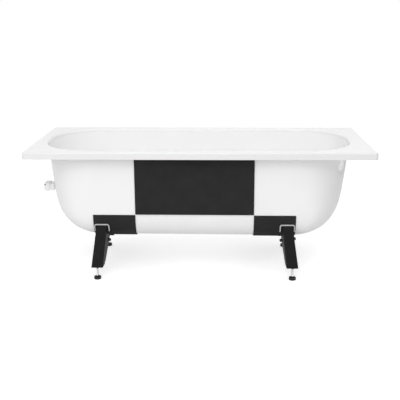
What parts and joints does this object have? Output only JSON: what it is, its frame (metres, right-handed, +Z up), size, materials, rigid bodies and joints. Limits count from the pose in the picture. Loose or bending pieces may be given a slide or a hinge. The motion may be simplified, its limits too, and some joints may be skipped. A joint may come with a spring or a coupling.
{
  "type": "bathtub",
  "caption": "Rectangular enamelled steel bathtub with rounded basin, black sound mats and black channel legs on screw feet.",
  "frame": {"origin": "on the floor, under the middle of the rim", "axes": "+X along the tub towards the drain end, +Y from front to back, +Z up"},
  "size_m": [1.5, 0.7, 0.5925],
  "materials": {
    "enamel": "gloss",
    "mat": "matte",
    "ground_coat": "satin",
    "black_paint": "satin",
    "black_steel": "satin",
    "zinc_steel": "satin",
    "bright_steel": "gloss",
    "black_plastic": "matte",
    "white_plastic": "satin"
  },
  "bodies": {
    "tub": {"tub_shell": "enamel", "side_mat_front": "mat", "side_mat_back": "mat", "bottom_mat_left": "mat", "bottom_mat_right": "mat", "leg_hood_front_left": "ground_coat", "leg_hood_front_right": "ground_coat", "leg_hood_back_left": "ground_coat", "leg_hood_back_right": "ground_coat", "leg_lug_front_left": "ground_coat", "leg_lug_front_right": "ground_coat", "leg_lug_back_left": "ground_coat", "leg_lug_back_right": "ground_coat", "leg_front_left": "black_paint", "leg_front_right": "black_paint", "leg_back_left": "black_paint", "leg_back_right": "black_paint", "leg_bolts": "black_steel", "leg_bolt_nuts": "black_steel", "foot_bushes": "black_plastic", "lock_nuts": "zinc_steel", "terminal_lug": "zinc_steel", "terminal_block": "white_plastic", "terminal_cap": "white_plastic", "terminal_screw": "zinc_steel"},
    "pad_front_left": {"foot_pad_front_left": "black_plastic"},
    "stud_front_left": {"foot_stud_front_left": "bright_steel"},
    "pad_front_right": {"foot_pad_front_right": "black_plastic"},
    "stud_front_right": {"foot_stud_front_right": "bright_steel"},
    "pad_back_left": {"foot_pad_back_left": "black_plastic"},
    "stud_back_left": {"foot_stud_back_left": "bright_steel"},
    "pad_back_right": {"foot_pad_back_right": "black_plastic"},
    "stud_back_right": {"foot_stud_back_right": "bright_steel"}
  },
  "joints": [
    {"name": "foot_height_front_left", "type": "slide", "parent": "tub", "child": "pad_front_left", "axis": [0, 0, -1], "range_m": [-0.0195, 0.0195]},
    {"name": "foot_screw_front_left", "type": "hinge", "parent": "pad_front_left", "child": "stud_front_left", "pos_m": [-0.45793, -0.24661, 0.05], "axis": [0, 0, -1], "range_deg": [-4681, 4681]},
    {"name": "foot_height_front_right", "type": "slide", "parent": "tub", "child": "pad_front_right", "axis": [0, 0, -1], "range_m": [-0.0195, 0.0195]},
    {"name": "foot_screw_front_right", "type": "hinge", "parent": "pad_front_right", "child": "stud_front_right", "pos_m": [0.40985, -0.24661, 0.05], "axis": [0, 0, -1], "range_deg": [-4681, 4681]},
    {"name": "foot_height_back_left", "type": "slide", "parent": "tub", "child": "pad_back_left", "axis": [0, 0, -1], "range_m": [-0.0195, 0.0195]},
    {"name": "foot_screw_back_left", "type": "hinge", "parent": "pad_back_left", "child": "stud_back_left", "pos_m": [-0.47393, 0.24661, 0.05], "axis": [0, 0, -1], "range_deg": [-4681, 4681]},
    {"name": "foot_height_back_right", "type": "slide", "parent": "tub", "child": "pad_back_right", "axis": [0, 0, -1], "range_m": [-0.0195, 0.0195]},
    {"name": "foot_screw_back_right", "type": "hinge", "parent": "pad_back_right", "child": "stud_back_right", "pos_m": [0.40985, 0.24661, 0.05], "axis": [0, 0, -1], "range_deg": [-4681, 4681]}
  ],
  "couplings": [
    {"joint": "foot_screw_front_left", "follows": "foot_height_front_left", "rad_per_m": 4188.8},
    {"joint": "foot_screw_front_right", "follows": "foot_height_front_right", "rad_per_m": 4188.8},
    {"joint": "foot_screw_back_left", "follows": "foot_height_back_left", "rad_per_m": 4188.8},
    {"joint": "foot_screw_back_right", "follows": "foot_height_back_right", "rad_per_m": 4188.8}
  ]
}
